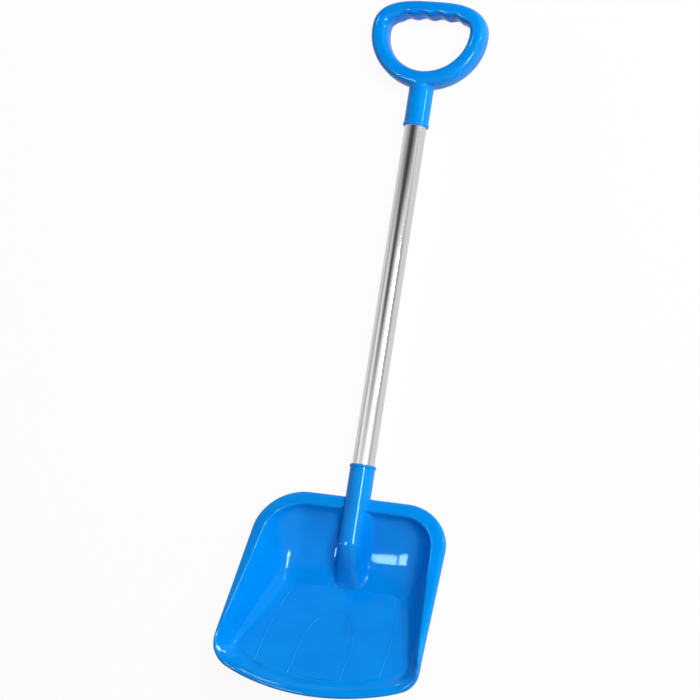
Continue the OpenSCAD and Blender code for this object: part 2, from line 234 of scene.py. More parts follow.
def bumpNode(nodes, links, height, distance, strength, before=None):
    bump = nodes.new("ShaderNodeBump")
    bump.inputs["Distance"].default_value = distance
    bump.inputs["Strength"].default_value = strength
    links.new(height, bump.inputs["Height"])
    if before:
        links.new(before, bump.inputs["Normal"])
    return bump.outputs["Normal"]


# A range says between which two values of a noise the look changes.
bluePlastic = {
    "deep": (0.0, 0.252, 0.775, 1), "light": (0.0, 0.285, 0.825, 1), "cloudScale": 26,
    "cloudRange": (0.35, 0.65), "smooth": 0.045, "scuffed": 0.1, "scuffScale": 70, "scuffDetail": 6.0,
    "scuffStretch": (1, 0.3, 1), "scuffRange": (0.45, 0.75),
    "tint": (0.4, 0.75, 1.0, 1), "gloss": 0.28, "refraction": 1.5,
    "grainScale": 1900, "grainDetail": 2.0, "grainDepth": 0.00002, "grainStrength": 0.3,
    "swellScale": 38, "swellDetail": 1.0, "swellDepth": 0.0006, "swellStrength": 0.25,
}


def plasticMaterial():
    look = bluePlastic
    material, nodes, links, shader, coords = startMaterial("glossyBluePlastic")
    place = coords.outputs["Object"]
    cloud = noiseNode(nodes, links, place, look["cloudScale"])
    colour = rampNode(nodes, links, cloud, look["cloudRange"], (look["deep"], look["light"]))
    links.new(colour, shader.inputs["Base Color"])
    scuff = noiseNode(nodes, links, place, look["scuffScale"], look["scuffDetail"], look["scuffStretch"])
    roughness = rangeNode(nodes, links, scuff, look["smooth"], look["scuffed"], *look["scuffRange"])
    links.new(roughness, shader.inputs["Roughness"])
    swell = noiseNode(nodes, links, place, look["swellScale"], look["swellDetail"])
    grain = noiseNode(nodes, links, place, look["grainScale"], look["grainDetail"])
    normal = bumpNode(nodes, links, swell, look["swellDepth"], look["swellStrength"])
    normal = bumpNode(nodes, links, grain, look["grainDepth"], look["grainStrength"], normal)
    links.new(normal, shader.inputs["Normal"])
    shader.inputs["Specular Tint"].default_value = look["tint"]
    shader.inputs["Specular IOR Level"].default_value = look["gloss"]
    shader.inputs["IOR"].default_value = look["refraction"]
    return material


chromePlate = {
    "bright": (0.89, 0.89, 0.895, 1), "shaded": (0.8, 0.8, 0.81, 1), "smooth": 0.04, "drawn": 0.07,
    "lineScale": 900, "lineDetail": 3.0, "lineStretch": (1, 0.012, 1), "lineRange": (0.4, 0.75),
    "lineDepth": 0.00001, "lineStrength": 0.12,
    "speckScale": 260, "speckDetail": 4.0, "speckRange": (0.27, 0.36),
}


def chromeMaterial():
    look = chromePlate
    material, nodes, links, shader, coords = startMaterial("chromePlate")
    place = coords.outputs["Object"]
    lines = noiseNode(nodes, links, place, look["lineScale"], look["lineDetail"], look["lineStretch"])
    specks = noiseNode(nodes, links, place, look["speckScale"], look["speckDetail"])
    roughness = rangeNode(nodes, links, lines, look["smooth"], look["drawn"], *look["lineRange"])
    links.new(roughness, shader.inputs["Roughness"])
    colour = rampNode(nodes, links, specks, look["speckRange"], (look["shaded"], look["bright"]))
    links.new(colour, shader.inputs["Base Color"])
    normal = bumpNode(nodes, links, lines, look["lineDepth"], look["lineStrength"])
    links.new(normal, shader.inputs["Normal"])
    shader.inputs["Metallic"].default_value = 1
    return material


screwSteel = {
    "bright": (0.66, 0.67, 0.69, 1), "dull": (0.45, 0.46, 0.48, 1), "smooth": 0.22, "rough": 0.42,
    "brushScale": 2600, "brushDetail": 4.0, "brushStretch": (1, 0.15, 1), "brushRange": (0.3, 0.6),
    "brushDepth": 0.00002, "brushStrength": 0.6,
}


def steelMaterial():
    look = screwSteel
    material, nodes, links, shader, coords = startMaterial("zincPlatedSteel")
    place = coords.outputs["Object"]
    stretch = look["brushStretch"]
    brushed = noiseNode(nodes, links, place, look["brushScale"], look["brushDetail"], stretch)
    colour = rampNode(nodes, links, brushed, look["brushRange"], (look["dull"], look["bright"]))
    links.new(colour, shader.inputs["Base Color"])
    roughness = rangeNode(nodes, links, brushed, look["smooth"], look["rough"])
    links.new(roughness, shader.inputs["Roughness"])
    normal = bumpNode(nodes, links, brushed, look["brushDepth"], look["brushStrength"])
    links.new(normal, shader.inputs["Normal"])
    shader.inputs["Metallic"].default_value = 1
    return material


plastic, chrome, steel = plasticMaterial(), chromeMaterial(), steelMaterial()
print("materials made")


# scoop
scoop = {
    "mouthAngle": 22.0, "floorAngle": 14.5, "length": 209.0, "sideEnd": 169.0, "width": 206.5,
    "taper": 2.3, "cornerRadius": 48.5, "lipBow": 26.0, "depth": 43.5, "sheet": 2.2, "inset": 0.04,
    "rimBack": 14.3, "rimFront": 3.8, "rimLip": 6.5, "mouthTaper": 6.8, "rimDrop": 6.2, "lipDrop": 3.2,
    "floorStart": 80.0, "floorHalfBack": 54.0, "floorHalfFront": 80.0, "floorGap": 9.0,
    "floorCorner": 14.0, "wallBow": 1.5, "bowHalf": 45, "edgeRounding": 0.4, "edgeAngle": 60,
    "sharpAngle": 22,
}
# shares of the rim's width and drop, then of the way in and the depth at the sides and the back
rimShares = [(0, 1), (0.02, 0.62), (0.07, 0.4), (0.16, 0.24), (0.32, 0.12), (0.6, 0.04), (0.86, 0.01)]
sideShares = [
    (0, 0), (0.035, 0.025), (0.08, 0.1), (0.2, 0.29), (0.33, 0.49),
    (0.46, 0.68), (0.56, 0.8), (0.68, 0.9), (0.82, 0.97), (1, 1),
]
backShares = [
    (0, 0), (0.02, 0.04), (0.04, 0.14), (0.1, 0.28), (0.18, 0.395),
    (0.29, 0.53), (0.43, 0.68), (0.6, 0.82), (0.8, 0.927), (1, 1),
]
# where the outline's parts end, counted from the middle of the back to the middle of the lip
backEnd, cornerEnd, sideEnd, tipEnd, lipMiddle = 5, 13, 21, 26, 34
# how many sections lie before each of these places, and how many rings between two shares
stationSteps = [
    (0.9, 9), (1.5, 15), (2.5, 10), (backEnd, 10), (cornerEnd, 32), (sideEnd, 16), (tipEnd, 20),
    (lipMiddle, 16),
]
ringSteps = [2, 2, 2, 2, 2, 2, 2, 3, 3, 4, 5, 7, 9, 11, 13, 13]
# the floor's inner rings, as shares of the way to its middle
floorShares = (0.02, 0.05, 0.1, 0.2, 0.4)
# the stretch of the outline along which the side walls fall away to the lip
lipFallStart, lipFallSteps = sideEnd - 1, 8
# how far the back wall's section reaches forward, as a share of the corner's radius
backReachShare = 1.1


def lipCurve(x, lip, half):
    return lip - scoop["lipBow"] * (x / half) ** 2


def outlinePoint(line, station):
    # a point on an outline seen square to the mouth: x across, y forward from the back edge
    flip = -1 if station > lipMiddle else 1
    t = min(station, 2 * lipMiddle - station)
    taper, radius, back = line["taper"], line["corner"], line["back"]
    arcY = back + radius
    arcX = line["half"] - (line["side"] - arcY) * slope(taper) - radius / cosine(taper)
    sideTo = Vector((line["half"], line["side"]))
    tipLength = line["lip"] - scoop["lipBow"] - line["side"]
    lipHalf = line["half"] - tipLength
    if t <= backEnd:
        p = Vector((arcX * t / backEnd, back))
    elif t <= cornerEnd:
        turn = (90 - taper) * (t - backEnd) / (cornerEnd - backEnd)
        p = Vector((arcX + radius * sine(turn), arcY - radius * cosine(turn)))
    elif t <= sideEnd:
        sideFrom = Vector((arcX + radius * cosine(taper), arcY - radius * sine(taper)))
        p = mix(sideFrom, sideTo, (t - cornerEnd) / (sideEnd - cornerEnd))
    elif t <= tipEnd:
        share = (t - sideEnd) / (tipEnd - sideEnd)
        tip = sideTo + tipLength * Vector((slope(taper), 1))
        lipFrom = Vector((lipHalf, lipCurve(lipHalf, line["lip"], line["half"])))
        p = mix(mix(sideTo, tip, share), mix(tip, lipFrom, share), share)
    else:
        x = lipHalf * (lipMiddle - t) / (lipMiddle - tipEnd)
        p = Vector((x, lipCurve(x, line["lip"], line["half"])))
    return Vector((flip * p.x, p.y))


def scoopLines():
    half = scoop["width"] / 2
    mouthSide, mouthLip = scoop["sideEnd"] - scoop["rimLip"], scoop["length"] - scoop["rimLip"]
    floorSide = mouthSide - scoop["floorGap"]
    spread = scoop["floorHalfFront"] - scoop["floorHalfBack"]
    inset = scoop["inset"]
    rim = dict(
        half=half - inset, side=scoop["sideEnd"], taper=scoop["taper"], back=inset,
        corner=scoop["cornerRadius"], lip=scoop["length"] - inset,
    )
    mouth = dict(
        half=half - scoop["rimFront"], side=mouthSide, taper=scoop["mouthTaper"], back=scoop["rimBack"],
        corner=scoop["cornerRadius"] - scoop["rimBack"] + scoop["rimFront"], lip=mouthLip,
    )
    floorTaper = math.degrees(math.atan(spread / (floorSide - scoop["floorStart"])))
    base = dict(
        half=scoop["floorHalfFront"], side=floorSide, taper=floorTaper, back=scoop["floorStart"],
        corner=scoop["floorCorner"], lip=mouthLip - scoop["floorGap"],
    )
    return rim, mouth, base


def floorDepth(y):
    return scoop["depth"] - (y - scoop["floorStart"]) * slope(scoop["floorAngle"])


def sectionPoints(lines, station):
    # from the rim's lower edge over the bend and down the wall to the floor
    rim, mouth, base = (outlinePoint(line, station) for line in lines)
    fallen = eased((min(station, 2 * lipMiddle - station) - lipFallStart) / lipFallSteps)
    rimDepth = fallen * floorDepth(mouth.y)
    drop = mix(scoop["rimDrop"], scoop["lipDrop"], fallen)
    backness = eased(1 - rim.y / (scoop["cornerRadius"] * backReachShare))
    points = []
    for across, down in rimShares:
        p = mix(rim, mouth, across)
        points.append(Vector((p.x, p.y, -rimDepth - drop * down)))
    for side, back in zip(sideShares, backShares):
        p = mix(mouth, base, mix(side[0], back[0], backness))
        depth = mix(rimDepth, floorDepth(base.y), mix(side[1], back[1], backness))
        points.append(Vector((p.x, p.y, -depth)))
    return points


# the least distance counted between two points of a curve, so that equal points do no harm
leastSpan = 0.01


def throughPoints(points, steps):
    # a smooth curve through the points, with its own number of steps between each two
    knots = [0.0]
    for a, b in zip(points, points[1:]):
        knots.append(knots[-1] + max((b - a).length, leastSpan))
    tangents = []
    for i in range(len(points)):
        a, b = max(i - 1, 0), min(i + 1, len(points) - 1)
        tangents.append((points[b] - points[a]) / (knots[b] - knots[a]))
    curve = [points[0]]
    for i, count in enumerate(steps):
        span = knots[i + 1] - knots[i]
        for k in range(1, count + 1):
            t = k / count
            curve.append(
                points[i] * (2 * t ** 3 - 3 * t ** 2 + 1) + points[i + 1] * (3 * t ** 2 - 2 * t ** 3)
                + span * (tangents[i] * (t ** 3 - 2 * t ** 2 + t) + tangents[i + 1] * (t ** 3 - t ** 2))
            )
    return curve


# the hump over the socket follows the tube, spreads down its flanks, then slopes to a blunt nose
hump = {
    "crownRadius": 12.8, "arcHalf": 12.3, "footHalf": 16.2, "shoulderShare": 0.77, "tipHalf": 0.8,
    "roundFrom": 57.0, "length": 79.5, "noseRound": 5.0, "bendAt": 55.5, "bendDepth": 8.6,
    "noseSlope": 1.45, "bendBlend": 9.0, "flankBlend": 8.0, "noseBlend": 4.0, "noseRoom": 16.0,
    "flattenFrom": 45.0, "blendFrom": 58.0, "changeLength": 15.0, "flankSlope": 1.2,
    "regionHalf": 30.0, "regionEnd": 92.0, "socketCut": 11.9, "socketRoom": 0.2, "socketReach": 40.0,
}


def blended(a, b, reach):
    # the larger of two depths, rounded where they meet
    near = max(0.0, 1 - abs(a - b) / reach)
    return max(a, b) + near * near * reach / 4


def humpHalf(y):
    far = max(0.0, (y - hump["roundFrom"]) / (hump["length"] - hump["roundFrom"]))
    n = hump["noseRound"]
    return max(hump["tipHalf"], hump["footHalf"] * max(0.0, 1 - far ** n) ** (1 / n))


def humpedDepth(x, y, bowl):
    lean, radius, x = scoop["mouthAngle"], hump["crownRadius"], abs(x)
    follow = y * slope(lean) - radius / cosine(lean)
    nose = hump["bendDepth"] + (y - hump["bendAt"]) * hump["noseSlope"]
    crown = blended(follow, nose, hump["bendBlend"])
    room = max(0.0, bowl - crown)
    half = humpHalf(y)
    shoulder = half * hump["shoulderShare"]
    across = min(1.0, x / shoulder) * hump["arcHalf"]
    flattened = eased((y - hump["flattenFrom"]) / hump["changeLength"])
    flatter = mix(1.0, min(1.0, room / hump["noseRoom"]), flattened)
    drop = (radius - math.sqrt(radius ** 2 - across ** 2)) / cosine(lean) * flatter
    if x > shoulder:
        drop += (x - shoulder) * max(hump["flankSlope"], (room - drop) / (half - shoulder))
    nearNose = eased((y - hump["blendFrom"]) / hump["changeLength"])
    reach = mix(hump["flankBlend"], hump["noseBlend"], nearNose)
    return -blended(-crown - drop, -bowl, reach)


def mouthToShaft(p):
    lean = scoop["mouthAngle"]
    return Vector((p.x, -p.y * cosine(lean) + p.z * sine(lean), p.y * sine(lean) + p.z * cosine(lean)))


def makeScoopShell():
    lines = scoopLines()
    stations = [0.0]
    for end, count in stationSteps:
        start = stations[-1]
        stations += [mix(start, end, (k + 1) / count) for k in range(count)]
    stations += [2 * lipMiddle - t for t in stations[-2:0:-1]]
    sections = [throughPoints(sectionPoints(lines, t), ringSteps) for t in stations]
    rings = [list(ring) for ring in zip(*sections)]
    mouthRing = sum(ringSteps[:len(rimShares)])
    for ring in rings[mouthRing:]:
        for p in ring:
            # the back wall is a little dished from side to side
            share = (p.y - scoop["rimBack"]) / (scoop["floorStart"] - scoop["rimBack"])
            bow = scoop["wallBow"] * min(1.0, (p.x / scoop["bowHalf"]) ** 2)
            p.z += bow * math.sin(math.pi * clamped(share))
    middleY = (scoop["floorStart"] + scoop["length"]) / 2
    middle = Vector((0, middleY, -floorDepth(middleY)))
    rings += [[mix(p, middle, share) for p in rings[-1]] for share in floorShares]
    for ring in rings[mouthRing:]:
        for p in ring:
            if abs(p.x) < hump["regionHalf"] and p.y < hump["regionEnd"]:
                p.z = -humpedDepth(p.x, p.y, -p.z)
    bm = bmesh.new()
    made = growRings(bm, rings)
    bmesh.ops.contextual_create(bm, geom=made[-1])
    # the socket's sleeve passes through the back of the rim
    level = {v: k for k, ring in enumerate(made) for v in ring}
    cut = []
    for face in bm.faces:
        p = face.calc_center_median()
        levels = [level[v] for v in face.verts]
        inSocket = Vector((p.x, mouthToShaft(p).z)).length < hump["socketCut"]
        narrow = abs(p.x) < hump["socketCut"] - hump["socketRoom"]
        joining = max(levels) == mouthRing and narrow
        if min(levels) < mouthRing and p.y < hump["socketReach"] and (inSocket or joining):
            cut.append(face)
    bmesh.ops.delete(bm, geom=cut, context="FACES")
    for vert in bm.verts:
        vert.co = mouthToShaft(vert.co)
    bmesh.ops.recalc_face_normals(bm, faces=bm.faces)
    widest = max(bm.faces, key=lambda face: face.calc_area())
    if widest.normal.z < 0:
        bmesh.ops.reverse_faces(bm, faces=bm.faces)
    piece = finishPiece("scoopShell", bm, plastic, "scoop", scoop["sharpAngle"])
    wall = piece.modifiers.new("sheet", "SOLIDIFY")
    wall.thickness = scoop["sheet"] / metre
    wall.offset = -1
    wall.use_even_offset = True
    # short edges at the rim make the overlap guard narrow this rounding to about a micron
    rounding = piece.modifiers.new("rounded edges", "BEVEL")
    rounding.width = scoop["edgeRounding"] / metre
    rounding.segments = 2
    rounding.limit_method = "ANGLE"
    rounding.angle_limit = math.radians(scoop["edgeAngle"])


makeScoopShell()


# sleeve with its bead and screw pad, for the scoop's socket and the handle's stem
sleeve = {
    "radius": 12.4, "bore": 11.1, "mouth": 30.3, "beadHeight": 0.9, "beadWidth": 3.4, "beadSteps": 8,
    "steps": 96, "screwPlace": 15.0, "padDiameter": 9.0, "padHeight": 3.0, "padSteps": 64,
    "padRounding": 0.3, "headDiameter": 5.9, "headDepth": 1.5, "shank": 3.2, "holeDepth": 6.0,
    "holeSteps": 48, "overrun": 0.1, "coreLength": 200.0,
}
padFace = -(sleeve["radius"] + sleeve["beadHeight"])
socketEnd = tube["start"] - scoop["sheet"]


def beadPoints(mouth, inward):
    # places on the bead, from the sleeve's side to its mouth; inward is the way along the sleeve
    width, height = sleeve["beadWidth"], sleeve["beadHeight"]
    radius = (width * width / 4 + height * height) / (2 * height)
    points = []
    for k in range(sleeve["beadSteps"] + 1):
        along = width * (1 - k / sleeve["beadSteps"])
        rise = math.sqrt(radius ** 2 - (along - width / 2) ** 2) - radius + height
        points.append((sleeve["radius"] + rise, mouth + inward * along, 0))
    return points


def makePad(y):
    # a flat pad on the back of a sleeve, round the screw
    half, height = sleeve["padDiameter"] / 2, sleeve["padHeight"]
    bm = bmesh.new()
    addRod(bm, (0, y, padFace + height / 2), half, half, height, sleeve["padSteps"])
    edges = [e for e in bm.edges if all(v.co.z < padFace + weldDistance for v in e.verts)]
    bmesh.ops.bevel(
        bm, geom=edges, offset=sleeve["padRounding"], segments=3, profile=0.5, affect="EDGES",
        material=-1,
    )
    return bm


def makeScrewSeat(y):
    # the countersink and hole that are cut for the screw
    over, steps = sleeve["overrun"], sleeve["holeSteps"]
    head, shank = sleeve["headDiameter"] / 2 + 2 * over, sleeve["shank"] / 2
    headDepth, holeDepth = sleeve["headDepth"], sleeve["holeDepth"]
    headMiddle = padFace + headDepth / 2 - over
    holeMiddle = padFace + headDepth + holeDepth / 2 - 3 * over
    bm = bmesh.new()
    addRod(bm, (0, y, headMiddle), head, shank, headDepth + 2 * over, steps)
    addRod(bm, (0, y, holeMiddle), shank, shank, holeDepth, steps)
    return bm


def makeScoopSleeve():
    profile = [(sleeve["radius"], socketEnd, 0)]
    profile += beadPoints(sleeve["mouth"], -1)
    profile += [(sleeve["bore"], sleeve["mouth"], 0), (sleeve["bore"], socketEnd, 0)]
    bm = spinProfile(profile, (0, 0, 0), (0, 1, 0), sleeve["steps"])
    y = sleeve["mouth"] - sleeve["screwPlace"]
    wallMiddle = (sleeve["radius"] + sleeve["bore"]) / 2  # the pad ends inside the sleeve's wall
    core = bmesh.new()
    addRod(core, (0, 0, 0), wallMiddle, wallMiddle, sleeve["coreLength"], sleeve["steps"], 90)
    pad = joined(makePad(y), core, "DIFFERENCE")
    bm = joined(bm, pad, "UNION")
    bm = joined(bm, makeScrewSeat(y), "DIFFERENCE")
    finishPiece("scoopSleeve", bm, plastic, "scoop")


makeScoopSleeve()


# raised lines on the floor: two long outer legs and an inner arch
arches = {
    "width": 1.2, "height": 0.6, "outerHalf": 62.5, "innerHalf": 26.0, "innerTop": 108.0, "foot": 19.0,
    "outerFoot": 11.0, "outerGap": 6.0, "innerRise": 50.0, "sunk": 0.3, "steps": 48, "footSteps": 8,
    "sharpAngle": 60,
}
# shares of a line's half width and height, from its edge to its top
ribbonShares = [(1, 0.4), (0.6, 0.85)]


def footY(x):
    return lipCurve(x, scoop["length"], scoop["width"] / 2) - arches["foot"]


def legX(y, half, rise, widest):
    return half * math.sqrt(max(0.0, 1 - ((widest - y) / rise) ** 2))


def onFloor(x, y, lift):
    lean = scoop["floorAngle"]
    return mouthToShaft(Vector((x, y - lift * sine(lean), -floorDepth(y) + lift * cosine(lean))))


def makeRibbon(bm, path):
    # a low rounded line laid on the floor along a path of (x, y)
    half, top = arches["width"] / 2, arches["height"]
    rise = [(half, -arches["sunk"])] + [(half * across, top * up) for across, up in ribbonShares]
    section = [(-across, up) for across, up in rise] + [(0, top)] + rise[::-1]
    rings = []
    for i, p in enumerate(path):
        way = (path[min(i + 1, len(path) - 1)] - path[max(i - 1, 0)]).normalized()
        side = Vector((-way.y, way.x))
        rings.append([onFloor(p.x + side.x * a, p.y + side.y * a, up) for a, up in section])
    growRings(bm, rings)


def makeArches():
    steps = arches["steps"]
    bm = bmesh.new()
    half = arches["outerHalf"]
    legEnd = scoop["floorStart"] + arches["outerGap"]
    for side in (-1, 1):
        leg = []
        for i in range(steps + 1):
            y = mix(footY(half), legEnd, i / steps)
            leg.append(Vector((side * legX(y, half, scoop["sideEnd"], scoop["sideEnd"]), y)))
        foot = []
        for i in range(arches["footSteps"] + 1):
            x = leg[0].x - side * arches["outerFoot"] * i / arches["footSteps"]
            foot.append(Vector((x, footY(x))))
        makeRibbon(bm, leg)
        makeRibbon(bm, foot)
    widest = arches["innerTop"] + arches["innerRise"]
    bottom = footY(arches["innerHalf"])
    arch = []
    for i in range(-steps, steps + 1):
        y = mix(arches["innerTop"], bottom, (i / steps) ** 2)
        x = legX(min(y, widest), arches["innerHalf"], arches["innerRise"], widest)
        arch.append(Vector((math.copysign(x, i), y)))
    makeRibbon(bm, arch)
    reach = arches["innerHalf"]
    places = [mix(-reach, reach, i / steps) for i in range(steps + 1)]
    makeRibbon(bm, [Vector((x, footY(x))) for x in places])
    bmesh.ops.holes_fill(bm, edges=bm.edges, sides=0)
    bmesh.ops.recalc_face_normals(bm, faces=bm.faces)
    finishPiece("floorArches", bm, plastic, "scoop", arches["sharpAngle"])


makeArches()
print("scoop made")


# handle: a loop and stem grown together, then cut into its two shells
handle = {
    "loopHalf": 51.0, "loopRise": 24.0, "loopFall": 48.5, "barWidth": 17.0, "barDepth": 26.5,
    "squareTop": 2.9, "squareBottom": 1.95, "barSquare": 3.0, "mouth": 372.8, "stem": 40.0,
    "groovePitch": 17.6, "grooveDepth": 2.2, "grooves": 4, "voxel": 0.7, "smoothing": 8,
    "flare": 0.4, "flareLength": 4.0, "flareBelow": 1.0, "stemSunk": 10.0, "seamWidth": 0.45,
    "seamDepth": 0.3, "boreLength": 31.1, "boreOverrun": 20.0, "loopSteps": 200, "barSteps": 56,
    "sharpAngle": 32, "closeDistance": 0.001,
}
loopFoot = handle["mouth"] + handle["stem"]
loopY = loopFoot + handle["barWidth"] / 2 + handle["loopFall"]


def power(value, exponent):
    return math.copysign(abs(value) ** exponent, value)


def loopCentre(turn):
    top = sine(turn) >= 0
    rise = handle["loopRise"] if top else handle["loopFall"]
    n = handle["squareTop"] if top else handle["squareBottom"]
    reach = (abs(cosine(turn) / handle["loopHalf"]) ** n + abs(sine(turn) / rise) ** n) ** (-1 / n)
    return Vector((reach * cosine(turn), loopY + reach * sine(turn), 0))


def barRing(turn):
    way = loopCentre(turn + 1) - loopCentre(turn - 1)
    outward = Vector((way.y, -way.x, 0)).normalized()
    centre = loopCentre(turn)
    groove = 0.0
    if sine(turn) > 0 and abs(centre.x) < handle["grooves"] * handle["groovePitch"] / 2:
        wave = math.cos(2 * math.pi * centre.x / handle["groovePitch"])
        groove = handle["grooveDepth"] * (1 - wave) / 2
    ring = []
    for k in range(handle["barSteps"]):
        b = 360 * k / handle["barSteps"]
        side = handle["barWidth"] / 2 - (groove if cosine(b) < 0 else 0)
        across = side * power(cosine(b), 2 / handle["barSquare"])
        front = handle["barDepth"] / 2 * power(sine(b), 2 / handle["barSquare"])
        ring.append(centre + outward * across + Vector((0, 0, front)))
    return ring


def makeHandleBody():
    bm = bmesh.new()
    growRings(bm, [barRing(360 * k / handle["loopSteps"]) for k in range(handle["loopSteps"] + 1)])
    bmesh.ops.remove_doubles(bm, verts=bm.verts, dist=handle["closeDistance"])
    radius, mouth = sleeve["radius"], handle["mouth"]
    flare, length = handle["flare"], handle["flareLength"]
    stem = [(0, loopFoot + handle["stemSunk"], 0), (radius + flare, loopFoot + length, 0)]
    stem += [(radius + flare / 3, loopFoot - handle["flareBelow"], 0), (radius, loopFoot - length, 0)]
    stem += beadPoints(mouth, 1) + [(0, mouth, 0)]
    turned = spinProfile(stem, (0, 0, 0), (0, 1, 0), sleeve["steps"])
    mesh = bpy.data.meshes.new("stem")
    turned.to_mesh(mesh)
    turned.free()
    bm.from_mesh(mesh)
    bpy.data.meshes.remove(mesh)
    bmesh.ops.recalc_face_normals(bm, faces=bm.faces)
    bm = modified(bm, "REMESH", {"mode": "VOXEL", "voxel_size": handle["voxel"]})
    for _ in range(handle["smoothing"]):
        bmesh.ops.smooth_vert(
            bm, verts=bm.verts, factor=0.5, use_axis_x=True, use_axis_y=True, use_axis_z=True
        )
    y = mouth + sleeve["screwPlace"]
    bm = joined(bm, makePad(y), "UNION")
    boreMiddle = mouth + (handle["boreLength"] - handle["boreOverrun"]) / 2
    boreLength = handle["boreLength"] + handle["boreOverrun"]
    bore = bmesh.new()
    addRod(bore, (0, boreMiddle, 0), sleeve["bore"], sleeve["bore"], boreLength, sleeve["steps"], 90)
    bm = joined(bm, bore, "DIFFERENCE")
    return joined(bm, makeScrewSeat(y), "DIFFERENCE")


def makeShell(body, name, node, side):
    # one side of the joint, with its edge eased into a fine seam
    bm = body.copy()
    seamEdge = (0, 0, side * handle["seamWidth"])
    for place, direction, clear in ((seamEdge, 1, False), ((0, 0, 0), side, True)):
        everything = bm.verts[:] + bm.edges[:] + bm.faces[:]
        bmesh.ops.bisect_plane(
            bm, geom=everything, plane_co=place, plane_no=(0, 0, direction), clear_inner=clear,
        )
    bm.normal_update()
    for vert in bm.verts:
        inward = Vector((vert.normal.x, vert.normal.y, 0))
        if vert.is_boundary and inward.length > 0.5:
            vert.co -= inward.normalized() * handle["seamDepth"]
    cutEdges = [e for e in bm.edges if e.is_boundary]
    bmesh.ops.triangle_fill(bm, edges=cutEdges, use_beauty=True, use_dissolve=False)
    finishPiece(name, bm, plastic, node, handle["sharpAngle"])


handleBody = makeHandleBody()
makeShell(handleBody, "handleFrontShell", "handle_front", 1)
makeShell(handleBody, "handleBackShell", "handle_back", -1)
handleBody.free()
print("handle made")


# tube, with a small chamfer at both ends
def makeTube():
    start, end, edge = tube["start"], tube["end"], tube["edge"]
    outer = tube["diameter"] / 2
    inner = outer - tube["wall"]
    profile = [
        (outer - edge, start, 0), (outer, start + edge, 0), (outer, end - edge, 0),
        (outer - edge, end, 0), (inner, end, 0), (inner, start, 0),
    ]
    bm = spinProfile(profile, (0, 0, 0), (0, 1, 0), tube["segments"])
    finishPiece("chromedTube", bm, chrome, "shaft_tube")


makeTube()
for name in ("scoop_screw", "handle_screw"):
    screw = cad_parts[name]
    screw.data.materials.clear()
    screw.data.materials.append(steel)
print("tube and screws made")


# floor, world and lamps
studio = {
    "floorColour": (0.86, 0.86, 0.86, 1), "floorSize": 60.0, "floorRoughness": 0.9, "floorGloss": 0.1,
    "floorWhite": 0.94, "floorMirrored": (0.68, 0.68, 0.68, 1), "white": (1, 1, 1, 1),
    "ambient": (0.14, 0.115, 0.17, 1), "roomLevel": 1.15,
    "toMiddle": (0.106, 0.176), "toHandleEnd": (0.18, 0.226),
}
# How bright the room looks when it is mirrored in the two ends of the tube and in its middle, by
# the angle from straight up towards +X: pale walls at both sides, with a dark gap overhead that
# is wide at the handle and closes towards the scoop.
room = {
    "scoopEnd": [
        (-180, 0.45), (-90, 0.45), (-70, 0.4), (-45, 0.9), (-30, 0.62), (-5, 0.62), (15, 0.95),
        (52, 0.95), (65, 0.5), (75, 0.4), (105, 0.75), (180, 0.75),
    ],
    "middle": [
        (-180, 0.55), (-90, 0.55), (-70, 0.36), (-45, 0.75), (-30, 0.3), (-20, 0.06), (-5, 0.12),
        (25, 0.9), (40, 0.9), (65, 0.35), (75, 0.35), (105, 0.75), (180, 0.75),
    ],
    "handleEnd": [
        (-180, 0.55), (-90, 0.55), (-65, 0.35), (-45, 0.28), (-30, 0.08), (0, 0.04), (30, 0.28),
        (52, 0.65), (70, 0.48), (90, 0.72), (180, 0.72),
    ],
}


def roomRamp(nodes, stops):
    ramp = nodes.new("ShaderNodeValToRGB")
    elements = ramp.color_ramp.elements
    elements[0].position, elements[1].position = 0, 1
    for angle, level in stops[1:-1]:
        elements.new((angle + 180) / 360).color = (level, level, level, 1)
    for element, level in ((elements[0], stops[0][1]), (elements[len(elements) - 1], stops[-1][1])):
        element.color = (level, level, level, 1)
    return ramp


def mathNode(nodes, links, operation, a, b):
    node = nodes.new("ShaderNodeMath")
    node.operation = operation
    for socket, value in zip(node.inputs, (a, b)):
        if isinstance(value, (int, float)):
            socket.default_value = value
        else:
            links.new(value, socket)
    return node.outputs["Value"]


def mixNode(nodes, links, share, a, b):
    node = nodes.new("ShaderNodeMix")
    node.data_type = "RGBA"
    links.new(share, node.inputs["Factor"])
    for name, value in (("A", a), ("B", b)):
        if isinstance(value, tuple):
            node.inputs[name].default_value = value
        else:
            links.new(value, node.inputs[name])
    return node.outputs["Result"]


def makeWorld():
    world = bpy.data.worlds.new("studio")
    scene.world = world
    world.use_nodes = True
    nodes, links = world.node_tree.nodes, world.node_tree.links
    background = nodes["Background"]
    coords, path = nodes.new("ShaderNodeTexCoord"), nodes.new("ShaderNodeLightPath")
    split = nodes.new("ShaderNodeSeparateXYZ")
    links.new(coords.outputs["Generated"], split.inputs["Vector"])
    angle = mathNode(nodes, links, "ARCTAN2", split.outputs["X"], split.outputs["Z"])
    place = rangeNode(nodes, links, angle, 0, 1, -math.pi, math.pi)
    ramps = {}
    for part, stops in room.items():
        ramps[part] = roomRamp(nodes, stops)
        links.new(place, ramps[part].inputs["Fac"])
    along = split.outputs["Y"]
    level = ramps["scoopEnd"].outputs["Color"]
    for part, reach in (("middle", studio["toMiddle"]), ("handleEnd", studio["toHandleEnd"])):
        share = rangeNode(nodes, links, along, 0, 1, *reach)
        level = mixNode(nodes, links, share, level, ramps[part].outputs["Color"])
    level = mathNode(nodes, links, "MULTIPLY", level, studio["roomLevel"])
    mirrored = mathNode(
        nodes, links, "MAXIMUM", path.outputs["Is Glossy Ray"], path.outputs["Is Transmission Ray"]
    )
    soft = mixNode(nodes, links, mirrored, studio["ambient"], level)
    seen = mixNode(nodes, links, path.outputs["Is Camera Ray"], soft, studio["white"])
    links.new(seen, background.inputs["Color"])


